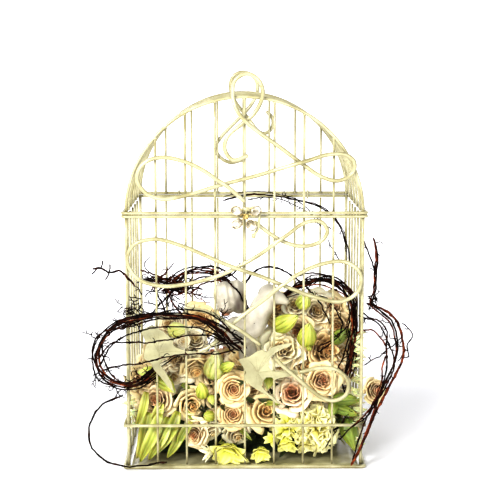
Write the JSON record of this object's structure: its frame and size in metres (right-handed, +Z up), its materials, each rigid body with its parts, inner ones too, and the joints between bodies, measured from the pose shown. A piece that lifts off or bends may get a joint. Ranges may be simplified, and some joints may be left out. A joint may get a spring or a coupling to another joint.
{
  "type": "wedding card box",
  "caption": "Wire birdcage card box with a hinged arched lid, scrollwork, sheet doves and a crystal latch, dressed with roses, doves and dried vine.",
  "frame": {"origin": "centre of the cage's underside, on the table", "axes": "+Z up, -Y to the front with the latch, +X to the right seen from the front"},
  "size_m": [0.3569, 0.2374, 0.4491],
  "materials": {
    "ivory_enamel": "smooth ivory enamel, slightly hand-worn",
    "gold_metal": "polished",
    "crystal": "clear cut crystal",
    "rose_petal": "soft matt petals, ivory to peach",
    "green_bloom": "matt, pale green to yellow",
    "dry_vine": "dry dark bark",
    "white_dove": "matt white bisque",
    "floral_foam": "crumbly foam"
  },
  "bodies": {
    "cage": {"base_rim": "ivory_enamel", "floor_panel": "ivory_enamel", "post_front_left": "ivory_enamel", "post_front_right": "ivory_enamel", "post_back_left": "ivory_enamel", "post_back_right": "ivory_enamel", "front_panel": "ivory_enamel", "back_panel": "ivory_enamel", "left_panel": "ivory_enamel", "right_panel": "ivory_enamel", "body_rim": "ivory_enamel", "body_scroll": "ivory_enamel", "ribbon_upper": "ivory_enamel", "ribbon_lower": "ivory_enamel", "sheet_dove_left": "ivory_enamel", "sheet_dove_right": "ivory_enamel", "floral_foam": "floral_foam", "rose_blush": "rose_petal", "rose_cream": "rose_petal", "rose_spiral_upper": "rose_petal", "rose_spiral_lower": "rose_petal", "rose_peach_open": "rose_petal", "rose_dark_heart": "rose_petal", "rose_pink": "rose_petal", "rose_ivory": "rose_petal", "rose_ruffled": "rose_petal", "rose_pale": "rose_petal", "rose_cluster": "rose_petal", "rose_outside_right": "rose_petal", "bud_green": "green_bloom", "leaves_left": "green_bloom", "bloom_yellow": "green_bloom", "bloom_hanging": "green_bloom", "dove_figurine_left": "white_dove", "dove_figurine_right": "white_dove", "vine_wreath_left": "dry_vine", "vine_wreath_right": "dry_vine", "vine_back": "dry_vine", "vine_top": "dry_vine", "vine_right": "dry_vine", "vine_tendril_left": "dry_vine"},
    "lid": {"lid_rim": "ivory_enamel", "lid_front_arch": "ivory_enamel", "lid_back_arch": "ivory_enamel", "lid_hoop_1": "ivory_enamel", "lid_hoop_2": "ivory_enamel", "lid_hoop_3": "ivory_enamel", "lid_hoop_4": "ivory_enamel", "lid_hoop_5": "ivory_enamel", "lid_scroll_front": "ivory_enamel", "lid_scroll_back": "ivory_enamel", "hinge_link_left": "ivory_enamel", "hinge_link_right": "ivory_enamel", "latch_staple": "ivory_enamel"},
    "latch": {"latch_hook": "ivory_enamel", "latch_plate": "gold_metal", "crystal_petal_upper_left": "crystal", "crystal_petal_upper_right": "crystal", "crystal_petal_lower_left": "crystal", "crystal_petal_lower_right": "crystal"}
  },
  "joints": [
    {"name": "lid_hinge", "type": "hinge", "parent": "cage", "child": "lid", "pos_m": [0, 0.1029, 0.2894], "axis": [-1, 0, 0], "range_deg": [0, 110]},
    {"name": "latch_pivot", "type": "hinge", "parent": "lid", "child": "latch", "pos_m": [0.003, -0.1076, 0.298], "axis": [-1, 0, 0], "range_deg": [0, 55]}
  ]
}
